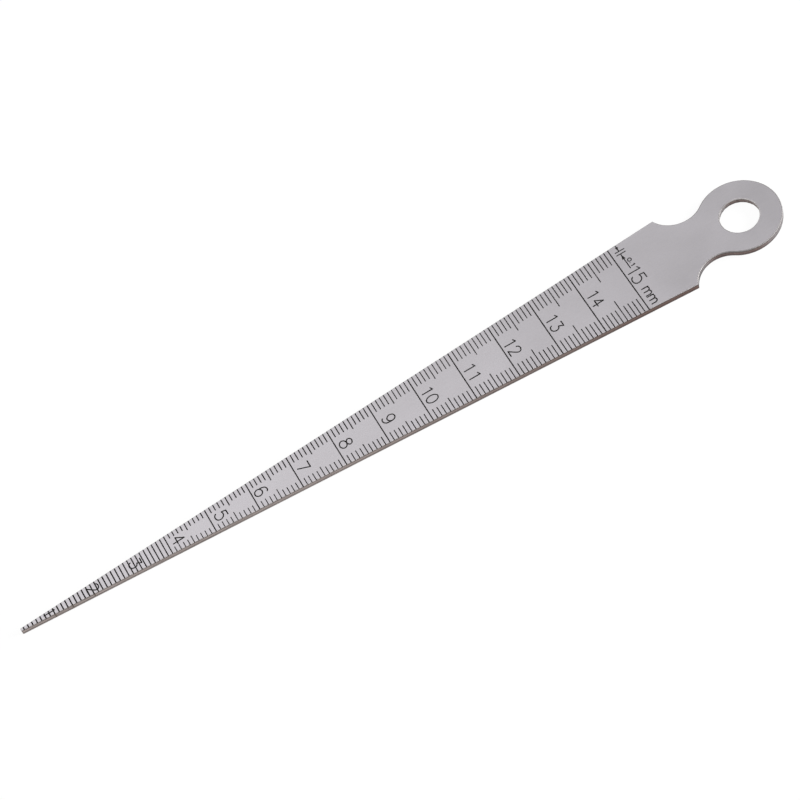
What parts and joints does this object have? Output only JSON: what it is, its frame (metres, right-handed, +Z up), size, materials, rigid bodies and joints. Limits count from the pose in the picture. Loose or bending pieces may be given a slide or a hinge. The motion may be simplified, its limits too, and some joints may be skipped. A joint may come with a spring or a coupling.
{
  "type": "taper gap gauge",
  "caption": "Flat steel strip ground to a long even taper, with a width scale in millimetres across one face and a round hanging eye at the wide end.",
  "frame": {"origin": "middle of the bounding box, on the underside: half way between the tip and the far side of the ring, on the strip's middle line", "axes": "+X along the strip from the narrow tip to the ring, +Y across it towards the edge on the left when seen from the tip, +Z up out of the marked face"},
  "size_m": [0.15, 0.0162, 0.0012],
  "materials": {
    "steel": "fine satin, with dark laser-marked graduations and numerals"
  },
  "bodies": {
    "root": {"gauge_blade": "steel"}
  },
  "joints": []
}
